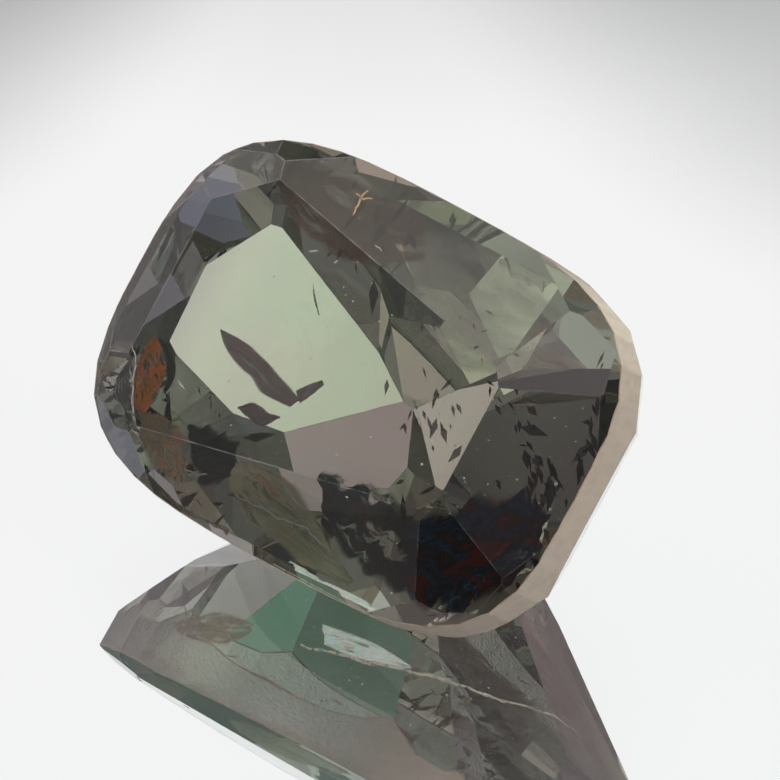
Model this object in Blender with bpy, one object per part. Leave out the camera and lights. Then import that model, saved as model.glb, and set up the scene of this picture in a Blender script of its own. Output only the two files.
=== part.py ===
"""A cushion-cut alexandrite, cut from one block the way a gem cutter does it.

A cushion-shaped block is sliced by one flat facet after another: the table, the low crown, the
steep pavilion under the thick girdle, the pavilion mains and the culet facets. The finished stone
is then laid on the pavilion facet that it rests on. Lengths are in metres and +Z is up. The
stone's own frame, before it is laid down, has its long axis on X, the table's side on +Z and the
upper edge of the girdle on Z = 0.
"""

from math import atan, cos, radians, sin
from typing import NamedTuple

import bmesh
import bpy
import numpy as np
from mathutils import Matrix, Vector

MM = 0.001

# The outline that the girdle follows: |x/a|^p + |y/b|^p = 1.
LENGTH = 7.07 * MM
WIDTH = 4.81 * MM
SQUARENESS = 3.41
GIRDLE_SIDES = 48

# Heights over the upper edge of the girdle, in the stone's own frame.
GIRDLE_THICKNESS = 0.45 * MM
TABLE_HEIGHT = 0.251 * MM
TABLE_RISE = 0.0357
CULET = (0.38 * MM, 0.71 * MM, -4.29 * MM)

# The facet that the stone lies on: its slope from the girdle plane, the way it faces, and how far
# it is from the middle of the girdle plane.
REST_ANGLE = 47.54
REST_AZIMUTH = 272.24
REST_DISTANCE = 2.952 * MM
LONG_AXIS_HEADING = -42.65

# The block before the first cut reaches past every facet.
BLOCK_TOP = 0.6 * MM
BLOCK_BOTTOM = -5.2 * MM
ON_PLANE = 0.0001 * MM

TINT = (0.27, 0.31, 0.22, 1.0)
CHRYSOBERYL_IOR = 1.75


class Facet(NamedTuple):
    """A facet's azimuth and slope in degrees, and the share of the outline's reach and the height
    of the point that it is cut through."""

    azimuth: float
    slope: float
    reach: float
    height: float


CROWN_RIM = 0.036 * MM
CROWN_SLOPE = 11.0
CROWN_MAINS = [
    Facet(azimuth, CROWN_SLOPE, 1.0, CROWN_RIM)
    for azimuth in (0, 44, 90, 136, 180, 213.4, 270, 316)
]

BREAK_RIM = 0.012 * MM
BREAK_SLOPE = 22.0
CROWN_BREAKS = [
    Facet(azimuth, BREAK_SLOPE, 1.0, BREAK_RIM)
    for azimuth in (14, 30, 60, 75, 105, 120, 150, 166, 194, 205, 230, 250, 290, 305, 330, 346)
]

STEEP_TIER = [
    Facet(azimuth, slope, 1.0, -GIRDLE_THICKNESS)
    for azimuth, slope in (
        (0, 60), (26, 62), (48, 68), (72, 78), (90, 72), (108, 74), (126, 68), (142, 70),
        (160, 66), (182, 72), (200, 70), (216, 62), (234, 80), (252, 80), (270, 80), (288, 74),
        (308, 62), (330, 68),
    )
]

PAVILION_MAINS = [
    Facet(4, 38, 0.78, -1.52 * MM),
    Facet(58, 52, 0.88, -1.43 * MM),
    Facet(60, 44, 0.80, -1.67 * MM),
    Facet(90, 46, 0.75, -1.96 * MM),
    Facet(108, 45, 0.80, -1.79 * MM),
    Facet(135, 52, 0.90, -1.55 * MM),
    Facet(220, 53, 0.86, -1.45 * MM),
    Facet(240, 50, 0.82, -1.73 * MM),
    Facet(288, 56, 0.84, -1.79 * MM),
    Facet(322, 54, 0.80, -1.43 * MM),
    Facet(324, 44, 0.76, -1.48 * MM),
]

# Azimuth and slope of the facets that meet at the culet.
CULET_FACETS = ((180, 36.5), (250, 31), (315, 42))


def clear_scene():
    """Removes whatever the file holds."""
    for leftover in list(bpy.data.objects):
        bpy.data.objects.remove(leftover, do_unlink=True)


def girdle_outline():
    """Points of the cushion outline, an equal way apart along it, as an array of (x, y)."""
    turn = np.linspace(0.0, 2.0 * np.pi, 4001)
    x = LENGTH / 2 * np.sign(np.cos(turn)) * np.abs(np.cos(turn)) ** (2 / SQUARENESS)
    y = WIDTH / 2 * np.sign(np.sin(turn)) * np.abs(np.sin(turn)) ** (2 / SQUARENESS)
    run = np.concatenate([[0.0], np.cumsum(np.hypot(np.diff(x), np.diff(y)))])
    stops = run[-1] * np.arange(GIRDLE_SIDES) / GIRDLE_SIDES
    return np.stack([np.interp(stops, run, x), np.interp(stops, run, y)], axis=1)


def outline_reach(azimuth):
    """How far the outline reaches from the middle in a direction, measured square to a line that
    touches it: (|a cos|^q + |b sin|^q)^(1/q), with q = p / (p - 1)."""
    power = SQUARENESS / (SQUARENESS - 1)
    along = abs(LENGTH / 2 * cos(radians(azimuth))) ** power
    across = abs(WIDTH / 2 * sin(radians(azimuth))) ** power
    return (along + across) ** (1 / power)


def outward(azimuth, slope, side):
    """The outward normal of a facet on the crown (side 1) or the pavilion (side -1)."""
    turn, lean = radians(azimuth), radians(slope)
    return Vector((cos(turn) * sin(lean), sin(turn) * sin(lean), side * cos(lean)))


def cushion_block(stone):
    """An upright block of the girdle's outline, taller than the stone."""
    base = [stone.verts.new((x, y, BLOCK_BOTTOM)) for x, y in girdle_outline()]
    floor = stone.faces.new(base)
    lifted = bmesh.ops.extrude_face_region(stone, geom=[floor])["geom"]
    top = [item for item in lifted if isinstance(item, bmesh.types.BMVert)]
    bmesh.ops.translate(stone, verts=top, vec=(0.0, 0.0, BLOCK_TOP - BLOCK_BOTTOM))
    bmesh.ops.recalc_face_normals(stone, faces=stone.faces)


def cut(stone, point, normal):
    """Takes off what lies past a plane, and closes the cut with one flat facet."""
    parts = list(stone.verts) + list(stone.edges) + list(stone.faces)
    sliced = bmesh.ops.bisect_plane(
        stone, geom=parts, dist=ON_PLANE, plane_co=point, plane_no=normal, clear_outer=True
    )
    rim = [item for item in sliced["geom_cut"] if isinstance(item, bmesh.types.BMEdge)]
    if rim:
        bmesh.ops.contextual_create(stone, geom=rim)


def cut_tier(stone, facets, side):
    """Cuts a tier of facets, each through its own point under or over the outline."""
    for facet in facets:
        turn = radians(facet.azimuth)
        reach = facet.reach * outline_reach(facet.azimuth)
        point = (reach * cos(turn), reach * sin(turn), facet.height)
        cut(stone, point, outward(facet.azimuth, facet.slope, side))


def laid_down():
    """The turn that brings the resting facet to face straight down, with the long axis heading
    towards the viewer's right."""
    resting = outward(REST_AZIMUTH, REST_ANGLE, -1)
    down = resting.rotation_difference(Vector((0.0, 0.0, -1.0))).to_matrix()
    long_axis = down @ Vector((1.0, 0.0, 0.0))
    heading = np.arctan2(long_axis.y, long_axis.x)
    return Matrix.Rotation(radians(LONG_AXIS_HEADING) - heading, 3, "Z") @ down


def stand_at_origin(stone):
    """Moves the stone so that the origin is under the middle of its box, on the surface."""
    places = np.array([vertex.co for vertex in stone.verts])
    low, high = places.min(axis=0), places.max(axis=0)
    middle = (low + high) / 2
    bmesh.ops.translate(stone, verts=stone.verts, vec=(-middle[0], -middle[1], -low[2]))


def gem_material():
    """Clear, grey-green chrysoberyl."""
    material = bpy.data.materials.new("alexandrite")
    material.use_nodes = True
    shader = material.node_tree.nodes["Principled BSDF"]
    shader.inputs["Base Color"].default_value = TINT
    shader.inputs["Roughness"].default_value = 0.0
    shader.inputs["Metallic"].default_value = 0.0
    shader.inputs["IOR"].default_value = CHRYSOBERYL_IOR
    shader.inputs["Transmission Weight"].default_value = 1.0
    return material


def build_gem():
    """The finished stone as one object, lying on its resting facet."""
    stone = bmesh.new()
    cushion_block(stone)
    tilt = atan(TABLE_RISE)
    cut(stone, (0.0, 0.0, TABLE_HEIGHT), Vector((-sin(tilt), 0.0, cos(tilt))))
    cut_tier(stone, CROWN_MAINS, 1)
    cut_tier(stone, CROWN_BREAKS, 1)
    cut_tier(stone, STEEP_TIER, -1)
    cut_tier(stone, PAVILION_MAINS, -1)
    for azimuth, slope in CULET_FACETS:
        cut(stone, CULET, outward(azimuth, slope, -1))
    resting = outward(REST_AZIMUTH, REST_ANGLE, -1)
    cut(stone, resting * REST_DISTANCE, resting)
    bmesh.ops.recalc_face_normals(stone, faces=stone.faces)
    bmesh.ops.rotate(stone, verts=stone.verts, cent=(0.0, 0.0, 0.0), matrix=laid_down())
    stand_at_origin(stone)
    mesh = bpy.data.meshes.new("alexandrite_gem")
    stone.to_mesh(mesh)
    stone.free()
    mesh.materials.append(gem_material())
    gem = bpy.data.objects.new("alexandrite_gem", mesh)
    bpy.context.scene.collection.objects.link(gem)
    return gem


clear_scene()
build_gem()
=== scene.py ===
"""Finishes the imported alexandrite: clear grey-green glass with a frosted girdle, worn facet edges,
stained films, cracks and small crystals inside, on a glossy white studio floor.

Lengths in the settings are in metres. Places inside the stone are written in millimetres in the
stone's own frame: long axis first, short axis second, and third the height over the upper edge of
the girdle, with the table on the positive side.
"""

from math import atan, atan2, cos, radians, sin
from typing import NamedTuple

import bmesh
import bpy
import numpy as np
from mathutils import Matrix, Vector


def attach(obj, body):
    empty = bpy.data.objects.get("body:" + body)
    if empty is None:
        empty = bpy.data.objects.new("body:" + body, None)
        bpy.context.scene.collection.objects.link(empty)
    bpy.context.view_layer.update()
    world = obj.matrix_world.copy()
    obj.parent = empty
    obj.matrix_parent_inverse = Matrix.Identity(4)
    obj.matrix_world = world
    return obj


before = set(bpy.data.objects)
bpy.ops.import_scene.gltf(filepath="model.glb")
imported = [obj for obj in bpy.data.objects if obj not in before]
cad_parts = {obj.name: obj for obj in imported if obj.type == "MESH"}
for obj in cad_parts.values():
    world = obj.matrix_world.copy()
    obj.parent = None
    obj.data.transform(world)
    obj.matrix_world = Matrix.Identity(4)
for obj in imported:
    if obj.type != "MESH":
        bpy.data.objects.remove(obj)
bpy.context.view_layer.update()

bl_info = {
    "name": "Alexandrite finish",
    "version": (1, 0, 0),
    "blender": (4, 5, 0),
    "location": "View3D > Sidebar > Alexandrite",
    "description": "Gives a cut alexandrite its glass, wear, inclusions and studio",
    "category": "Object",
}

MM = 0.001
STONE = "alexandrite_gem"
# The line of sight inside the stone, under the table, in the stone's own frame.
VIEW_IN = (-0.31, -0.01, -0.95)
# The same for the line of sight that comes by way of the floor's mirror, under the side facets.
MIRROR_VIEW_IN = (-0.33, 0.94, 0.05)
# The girdle's facets are those whose normals point up or down by less than this.
UPRIGHT = 0.05

# Films: their thickness, the height of the waves in them, the relief of their faces, and how far
# they and the platelets stay from the surface.
FILM_THICKNESS = 0.005
FILM_WAVE = 0.03
FILM_RELIEF = 0.02
INNER_MARGIN = 0.02
PLATELET_THICKNESS = 0.008
# A ray that has gone more legs than this has been mirrored inside the stone.
MIRRORED_AFTER = 2.5

# Worn and cracked lines: how far their ridge stands over the facets, how far their keel is sunk
# in the stone, and how far apart their stops are.
EDGE_LIFT = 0.0025
EDGE_SINK = 0.006
EDGE_SPACING = 0.05
CHIP_LIFT = 0.006
CRACK_LIFT = 0.004
CRACK_SINK = 0.012
CRACK_SPACING = 0.035

# The girdle's skin: how far it stands over the solid and reaches into it, and the strip that it
# leaves free at each of the band's edges.
GIRDLE_SKIN = 0.003
GIRDLE_FREE = 0.006


class StoneSettings(bpy.types.PropertyGroup):
    """How the cut stone lies, and the optics of its material."""

    rest_angle: bpy.props.FloatProperty(
        name="Rest angle", default=radians(47.54), unit="ROTATION",
        description="Slope of the facet that the stone lies on, from the girdle plane",
    )
    rest_azimuth: bpy.props.FloatProperty(
        name="Rest azimuth", default=radians(272.24), unit="ROTATION",
        description="The way that the resting facet faces, from the long axis",
    )
    rest_distance: bpy.props.FloatProperty(
        name="Rest distance", default=2.952 * MM, unit="LENGTH",
        description="From the middle of the girdle's upper edge to the surface below",
    )
    heading: bpy.props.FloatProperty(
        name="Long axis heading", default=radians(-42.65), unit="ROTATION",
        description="Where the long axis points, from +X, seen from above",
    )
    refractive_index: bpy.props.FloatProperty(
        name="Refractive index", default=1.75, min=1.0, description="Of chrysoberyl"
    )
    body_colour: bpy.props.FloatVectorProperty(
        name="Body colour", default=(0.46, 0.53, 0.40), size=3, subtype="COLOR",
        description="What the crystal lets through",
    )
    body_density: bpy.props.FloatProperty(
        name="Body density", default=200.0, min=0.0,
        description="How strongly the crystal takes light away, per metre",
    )


class InclusionSettings(bpy.types.PropertyGroup):
    """Sizes and colours of the wear and of what is inside the crystal."""

    wear_width: bpy.props.FloatProperty(
        name="Edge wear", default=0.017 * MM, unit="LENGTH",
        description="Width of the worn line along a crown edge",
    )
    crack_width: bpy.props.FloatProperty(
        name="Crack width", default=0.022 * MM, unit="LENGTH",
        description="Width of a crack's white line where it comes to the surface",
    )
    rust: bpy.props.FloatVectorProperty(
        name="Rust", default=(0.95, 0.30, 0.03), size=3, subtype="COLOR", description="Iron stain"
    )
    olive: bpy.props.FloatVectorProperty(
        name="Olive", default=(0.60, 0.58, 0.36), size=3, subtype="COLOR",
        description="Film in the lower feather",
    )
    violet: bpy.props.FloatVectorProperty(
        name="Violet", default=(0.27, 0.18, 0.21), size=3, subtype="COLOR",
        description="Film in the sliver behind the table",
    )
    fleck_count: bpy.props.IntProperty(
        name="Flecks", default=170, min=0, description="Small bright crystals"
    )


class StudioSettings(bpy.types.PropertyGroup):
    """The camera, the floor and the light round the stone."""

    camera_tilt: bpy.props.FloatProperty(
        name="Camera tilt", default=radians(33.5), unit="ROTATION",
        description="How far the camera looks down",
    )
    camera_distance: bpy.props.FloatProperty(
        name="Camera distance", default=107.14 * MM, unit="LENGTH",
        description="From the camera to the middle of the stone",
    )
    picture_side: bpy.props.FloatProperty(
        name="Picture side", default=9.286 * MM, unit="LENGTH",
        description="Width that the picture takes in at the stone",
    )
    aim_right: bpy.props.FloatProperty(
        name="Aim right", default=0.426 * MM, unit="LENGTH",
        description="The picture's middle, to the right of the stone's",
    )
    aim_down: bpy.props.FloatProperty(
        name="Aim down", default=0.111 * MM, unit="LENGTH",
        description="The picture's middle, below the stone's",
    )
    floor_reach: bpy.props.FloatProperty(
        name="Floor reach", default=0.9, unit="LENGTH", description="Radius of the floor"
    )
    floor_gap: bpy.props.FloatProperty(
        name="Floor gap", default=0.004 * MM, unit="LENGTH",
        description="Between the resting facet and the floor",
    )
    lamp_strength: bpy.props.FloatProperty(
        name="Lamp strength", default=1.5, min=0.0,
        description="Of the broad soft lamp behind the stone",
    )
    side_strength: bpy.props.FloatProperty(
        name="Side lamp strength", default=0.65, min=0.0,
        description="Of the warm soft lamp to the right",
    )


def settings(name):
    """One of this file's groups of settings, from the scene."""
    return getattr(bpy.context.scene, name)


class StoneFrame:
    """The stone's own frame, in millimetres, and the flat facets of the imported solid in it."""

    def __init__(self):
        chosen = settings("stone_settings")
        turn, lean = chosen.rest_azimuth, chosen.rest_angle
        resting = Vector((cos(turn) * sin(lean), sin(turn) * sin(lean), -cos(lean)))
        down = resting.rotation_difference(Vector((0.0, 0.0, -1.0))).to_matrix()
        long_axis = down @ Vector((1.0, 0.0, 0.0))
        spin = chosen.heading - atan2(long_axis.y, long_axis.x)
        self.turn = np.array(Matrix.Rotation(spin, 3, "Z") @ down)
        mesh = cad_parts[STONE].data
        places = np.zeros(len(mesh.vertices) * 3)
        mesh.vertices.foreach_get("co", places)
        across = places.reshape(-1, 3) @ self.turn
        middle = (across.min(axis=0) + across.max(axis=0)) / 2
        level = chosen.rest_distance - self.turn[2, :2] @ middle[:2]
        self.origin = self.turn @ np.array([middle[0], middle[1], level / self.turn[2, 2]])
        self.normals, self.offsets = self.facets(mesh)

    def facets(self, mesh):
        """Outward normals of the solid's flat facets and how far each is from the origin."""
        normals = np.zeros(len(mesh.polygons) * 3)
        centres = np.zeros(len(mesh.polygons) * 3)
        mesh.polygons.foreach_get("normal", normals)
        mesh.polygons.foreach_get("center", centres)
        normals = normals.reshape(-1, 3) @ self.turn
        offsets = (normals * self.inward(centres.reshape(-1, 3))).sum(axis=1)
        found = np.unique(np.round(normals, 3), axis=0, return_index=True)[1]
        return normals[found], offsets[found]

    def inward(self, places):
        """From the row frame, in metres, to the stone's own, in millimetres."""
        return (places - self.origin) @ self.turn / MM

    def outward(self, places):
        """From the stone's own frame, in millimetres, to the row frame, in metres."""
        return np.asarray(places, float) * MM @ self.turn.T + self.origin

    def crown_height(self, along, across):
        """Height of the crown's surface over a place: the lowest of the crown facets' planes."""
        up = self.normals[:, 2] > 0.5
        normals, offsets = self.normals[up], self.offsets[up]
        reach = offsets - np.multiply.outer(along, normals[:, 0])
        reach = reach - np.multiply.outer(across, normals[:, 1])
        return (reach / normals[:, 2]).min(axis=-1)

    def on_crown(self, flat):
        """Places on the crown's surface, from (along, across)."""
        height = self.crown_height(flat[..., 0], flat[..., 1])
        return np.concatenate([flat, height[..., None]], axis=-1)

    def kept_inside(self, places, margin):
        """Places moved back along the nearest facet's normal until none is closer than margin."""
        kept = np.array(places, float)
        for _ in range(4):
            past = kept @ self.normals.T - self.offsets + margin
            worst = past.argmax(axis=-1)
            excess = np.maximum(np.take_along_axis(past, worst[..., None], -1), 0.0)
            kept = kept - self.normals[worst] * excess
        return kept

    def overreach(self, corners):
        """How far the outermost corner of each shape is past the nearest facet's plane."""
        return (corners @ self.normals.T - self.offsets).max(axis=(1, 2))


def unit(vectors):
    """Vectors of length one."""
    return vectors / np.linalg.norm(vectors, axis=-1, keepdims=True)


def wander(stops, seed, waves=5, coarse=1.0):
    """A smooth random curve about zero: a sum of sines of rising frequency, each half as tall as
    the one before, with phases drawn from the seed."""
    phases = np.random.default_rng(seed).uniform(0.0, 2.0 * np.pi, waves)
    total = np.zeros_like(stops)
    for step, phase in enumerate(phases):
        total = total + 0.5**step * np.sin(2.0 * np.pi * coarse * 1.9**step * stops + phase)
    return total / 1.6


def grid_faces(rows, columns, wrap=False):
    """Quads of a grid of rows by columns; with wrap, the last column joins the first."""
    row, column = np.meshgrid(np.arange(rows - 1), np.arange(columns - (not wrap)), indexing="ij")
    start, following = row * columns, (column + 1) % columns
    corners = [start + column, start + following, start + columns + following, start + columns + column]
    return np.stack(corners, axis=-1).reshape(-1, 4)


def copied_faces(shape, copies):
    """The faces of one small shape for each of its copies, from the copies' corners."""
    count, corners = copies.shape[:2]
    return (np.array(shape)[None] + corners * np.arange(count)[:, None, None]).reshape(-1, len(shape[0]))


def make_piece(name, material, places, faces, uv=None):
    """One piece from places in the row frame and faces, riding on the stone's body."""
    mesh = bpy.data.meshes.new(name)
    mesh.from_pydata(np.asarray(places).reshape(-1, 3).tolist(), [], [list(face) for face in faces])
    if uv is not None:
        layer = mesh.uv_layers.new(name="along")
        index = np.zeros(len(mesh.loops), dtype=np.int32)
        mesh.loops.foreach_get("vertex_index", index)
        layer.data.foreach_set("uv", uv[index].ravel())
    mesh.materials.append(material)
    piece = bpy.data.objects.new(name, mesh)
    bpy.context.scene.collection.objects.link(piece)
    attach(piece, "root")


def joined(parts):
    """Places, faces and UVs of several shapes as one, from (places, faces, uv) for each."""
    places, faces, uvs, start = [], [], [], 0
    for place, face, uv in parts:
        places.append(place)
        faces.extend([[start + corner for corner in polygon] for polygon in face])
        uvs.append(uv)
        start += len(place)
    return np.concatenate(places), faces, np.concatenate(uvs)


def lens(rows, columns):
    """Faces of a thin closed body from an upper and a lower grid that share nothing: both grids,
    the lower one turned over, and a strip round their rims."""
    count = rows * columns
    upper = grid_faces(rows, columns)
    index = np.arange(count).reshape(rows, columns)
    rim = np.concatenate([index[:-1, 0], index[-1, :-1], index[:0:-1, -1], index[0, :0:-1]])
    following = np.roll(rim, -1)
    strip = np.stack([rim, following, following + count, rim + count], axis=-1)
    return np.concatenate([upper, upper[:, ::-1] + count, strip])


def smooth_line(stops, count):
    """A Catmull-Rom curve through the stops: between two of them it is the cubic that passes
    through both and is level at each with the line between that stop's neighbours."""
    stops = np.array(stops, float)
    place = np.linspace(0.0, len(stops) - 1.0, count)
    first = np.minimum(place.astype(int), len(stops) - 2)
    part = (place - first)[:, None]
    before, after = np.maximum(first - 1, 0), np.minimum(first + 2, len(stops) - 1)
    a, b, c, d = stops[before], stops[first], stops[first + 1], stops[after]
    bend = (2 * a - 5 * b + 4 * c - d) * part**2 + (3 * b - a - 3 * c + d) * part**3
    return b + (c - a) * part / 2 + bend / 2


class Sheet(NamedTuple):
    """A thin film between two edges, each a smooth line through places: (along, across) on the
    crown, or with a height too. It is sunk by depth along the sink direction, and ragged is how
    far its edges wander."""

    near: list
    far: list
    depth: float
    ragged: float
    seed: int
    rows: int = 44
    columns: int = 13
    sink: tuple = VIEW_IN


def film_sheet(stone, sheet):
    """At s along it and t across, the film is (1 - t) near(s) + t far(s), moved sideways by ragged
    times two crossed waves, put on the crown where it has no height, and sunk by its depth and a
    low wave. Its two skins lie half its thickness to either side."""
    rows, columns, sink = sheet.rows, sheet.columns, np.array(sheet.sink)
    s, t = np.meshgrid(np.linspace(0.0, 1.0, rows), np.linspace(0.0, 1.0, columns), indexing="ij")
    near, far = smooth_line(sheet.near, rows)[:, None], smooth_line(sheet.far, rows)[:, None]
    film = near + (far - near) * t[..., None]
    film[..., 0] += sheet.ragged * wander(s + 0.5 * t, sheet.seed, 5, 3.1)
    film[..., 1] += sheet.ragged * wander(s + 0.5 * t, sheet.seed + 3, 5, 3.7)
    if film.shape[-1] == 2:
        film = stone.on_crown(film)
    sunk = sheet.depth + FILM_WAVE * wander(1.2 * s + 0.6 * t, sheet.seed + 5, 4, 1.3)
    film = film + sunk[..., None] * sink
    skin = -sink * FILM_THICKNESS / 2
    places = np.concatenate([(film + skin).reshape(-1, 3), (film - skin).reshape(-1, 3)])
    uv = np.tile(np.stack([s, t], axis=-1).reshape(-1, 2), (2, 1))
    return stone.outward(stone.kept_inside(places, INNER_MARGIN)), lens(rows, columns), uv


def ridge_line(stone, path, width, left, right, lift, sink, seed):
    """A worn line along a path: at each stop a four-cornered section that reaches width / 2 down
    each of the two facets beside it, with its ridge lifted over them and its keel sunk in the
    stone, and a face at each end. The width wanders along the line and narrows at both ends."""
    count = len(path)
    run = np.concatenate([[0.0], np.cumsum(np.linalg.norm(np.diff(path, axis=0), axis=1))])
    taper = np.sin(np.pi * np.clip(run / run[-1], 0.02, 0.98)) ** 0.25
    half = width / 2 * taper * (0.75 + 0.45 * np.abs(wander(run * 1.3, seed)))
    up = unit(np.cross(np.gradient(path, axis=0), right - left))
    flip = np.sign((up * lift).sum(axis=1, keepdims=True))
    up = up * np.where(flip == 0, 1.0, flip)
    height = np.linalg.norm(lift)
    foot, half = path + up * 0.3 * height, half[:, None]
    corners = [foot + left * half, path + up * height, foot + right * half, path - up * sink]
    faces = [list(face) for face in grid_faces(count, 4, wrap=True)[:, ::-1]]
    faces += [[0, 1, 2, 3], [4 * count - 1, 4 * count - 2, 4 * count - 3, 4 * count - 4]]
    uv = np.stack([np.repeat(run[:, None], 4, axis=1), np.tile([0.0, 0.5, 1.0, 0.5], (count, 1))], -1)
    return stone.outward(np.stack(corners, axis=1).reshape(-1, 3)), faces, uv.reshape(-1, 2)


def surface_crack(stone, stops, width, seed, jitter=0.018):
    """A crack's line where it comes to the crown's surface: a path through given stops,
    moved off the straight line by a wandering curve and put on the crown."""
    stops = np.array(stops, float)
    run = np.concatenate([[0.0], np.cumsum(np.linalg.norm(np.diff(stops, axis=0), axis=1))])
    fine = np.linspace(0.0, run[-1], max(6, int(run[-1] / CRACK_SPACING)))
    flat = np.stack([np.interp(fine, run, stops[:, axis]) for axis in (0, 1)], -1)
    flat[:, 0] += jitter * wander(fine, seed, 6, 2.4)
    flat[:, 1] += jitter * wander(fine, seed + 7, 6, 2.9)
    path = stone.on_crown(flat)
    up = np.array([0.0, 0.0, 1.0])
    side = unit(np.cross(np.gradient(path, axis=0), up))
    return ridge_line(stone, path, width, -side, side, up * CRACK_LIFT, CRACK_SINK, seed)


class Shader:
    """A material's node tree with short ways to add and join nodes. Where a name is given as a
    keyword, an underscore stands for a space."""

    def __init__(self, tree):
        self.tree = tree

    def feed(self, socket, value):
        """Links a socket to another or sets it to a number, a vector or a colour."""
        if isinstance(value, bpy.types.NodeSocket):
            self.tree.links.new(value, socket)
        elif value is not None:
            socket.default_value = (*value[:3], 1.0) if socket.type == "RGBA" else value

    def add(self, kind, **values):
        """A new node, with values for its properties and for its inputs."""
        node = self.tree.nodes.new(kind)
        for name, value in values.items():
            if hasattr(node, name):
                setattr(node, name, value)
            else:
                self.feed(node.inputs[name.replace("_", " ")], value)
        return node

    def surface(self, **values):
        """Feeds inputs of the material's Principled BSDF."""
        for name, value in values.items():
            self.feed(self.tree.nodes["Principled BSDF"].inputs[name.replace("_", " ")], value)

    def group(self, name, **values):
        """The outputs of a shared node group, placed with its own values."""
        return self.add("ShaderNodeGroup", node_tree=shared_group(name), **values).outputs

    def math(self, operation, first, second=None, clamp=False):
        """A Math node's output, from sockets or plain numbers."""
        node = self.add("ShaderNodeMath", operation=operation, use_clamp=clamp)
        self.feed(node.inputs[0], first)
        self.feed(node.inputs[1], second)
        return node.outputs[0]

    def times(self, first, second):
        """A product."""
        return self.math("MULTIPLY", first, second)

    def rest(self, share):
        """What a share leaves of one."""
        return self.math("SUBTRACT", 1.0, share)

    def along(self, vector, direction):
        """How far a vector socket reaches along a fixed direction."""
        node = self.add("ShaderNodeVectorMath", operation="DOT_PRODUCT")
        self.feed(node.inputs[0], vector)
        self.feed(node.inputs[1], tuple(direction))
        return node.outputs["Value"]

    def ramp(self, factor, stops):
        """A Color Ramp's colour, from (place, colour) stops."""
        node = self.add("ShaderNodeValToRGB", Fac=factor)
        points = node.color_ramp.elements
        points[0].position, points[1].position = stops[0][0], stops[-1][0]
        for place, _ in stops[1:-1]:
            points.new(place)
        for point, (_, colour) in zip(points, stops):
            point.color = (*colour[:3], 1.0)
        return node.outputs["Color"]

    def noise(self, vector, scale, detail, roughness=0.55, distortion=0.0):
        """A Noise Texture's value."""
        return self.add(
            "ShaderNodeTexNoise",
            Vector=vector, Scale=scale, Detail=detail, Roughness=roughness, Distortion=distortion,
        ).outputs["Fac"]

    def between(self, value, low, high):
        """A value mapped from low..high to 0..1, smoothly and clamped."""
        return self.add(
            "ShaderNodeMapRange",
            interpolation_type="SMOOTHSTEP", Value=value, From_Min=low, From_Max=high,
        ).outputs["Result"]

    def mix(self, factor, first, second):
        """A mix of two colours, from sockets or plain colours."""
        node = self.add("ShaderNodeMix", data_type="RGBA")
        self.feed(node.inputs["Factor"], factor)
        for socket, colour in zip([entry for entry in node.inputs if entry.type == "RGBA"], (first, second)):
            self.feed(socket, colour)
        return next(socket for socket in node.outputs if socket.type == "RGBA")

    def bump(self, height, relief, strength=1.0):
        """Feeds the surface's Normal from a height, with its relief in millimetres."""
        node = self.add("ShaderNodeBump", Height=height, Distance=relief * MM, Strength=strength)
        self.surface(Normal=node.outputs["Normal"])


def new_group(name, inputs, outputs):
    """A shader node group with named sockets, as (shader, input node, output node)."""
    tree = bpy.data.node_groups.new(name, "ShaderNodeTree")
    for title, kind, default in inputs:
        socket = tree.interface.new_socket(name=title, in_out="INPUT", socket_type=kind)
        if default is not None:
            socket.default_value = default
    for title, kind in outputs:
        tree.interface.new_socket(name=title, in_out="OUTPUT", socket_type=kind)
    shader = Shader(tree)
    return shader, shader.add("NodeGroupInput"), shader.add("NodeGroupOutput")


def stone_place_group(name):
    """Group: a place in the stone's own frame, in millimetres, from Object coordinates."""
    stone = StoneFrame()
    titles = ("Along", "Across", "Height")
    outputs = [("Place", "NodeSocketVector"), *((title, "NodeSocketFloat") for title in titles)]
    shader, _, target = new_group(name, [], outputs)
    spot = shader.add("ShaderNodeTexCoord").outputs["Object"]
    gather = shader.add("ShaderNodeCombineXYZ")
    for axis, title in enumerate(titles):
        direction = stone.turn[:, axis]
        reach = shader.along(spot, direction / MM)
        value = shader.math("SUBTRACT", reach, float(direction @ stone.origin / MM))
        shader.feed(target.inputs[title], value)
        shader.feed(gather.inputs[axis], value)
    shader.feed(target.inputs["Place"], gather.outputs["Vector"])


def patches_group(name):
    """Group: broken patches, a mask of noise cut off at a cover, with a soft margin."""
    inputs = [
        ("Place", "NodeSocketVector", None),
        ("Scale", "NodeSocketFloat", 20.0),
        ("Cover", "NodeSocketFloat", 0.5),
        ("Softness", "NodeSocketFloat", 0.08),
    ]
    shader, source, target = new_group(
        name, inputs, [("Mask", "NodeSocketFloat"), ("Noise", "NodeSocketFloat")]
    )
    noise = shader.noise(source.outputs["Place"], source.outputs["Scale"], 5.0, 0.62)
    bar = shader.math("ADD", 0.15, shader.times(shader.rest(source.outputs["Cover"]), 0.7))
    over = shader.math("SUBTRACT", noise, bar)
    mask = shader.math("DIVIDE", over, source.outputs["Softness"])
    shader.feed(target.inputs["Mask"], shader.math("ADD", mask, 0.5, clamp=True))
    shader.feed(target.inputs["Noise"], noise)


SHARED_GROUPS = {"stone place": stone_place_group, "broken patches": patches_group}


def shared_group(name):
    """A shared node group, built when it is first asked for."""
    if name not in bpy.data.node_groups:
        SHARED_GROUPS[name](name)
    return bpy.data.node_groups[name]


def new_material(name):
    """A material with a Principled BSDF, and its shader."""
    material = bpy.data.materials.new(name)
    material.use_nodes = True
    return material, Shader(material.node_tree)


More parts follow.
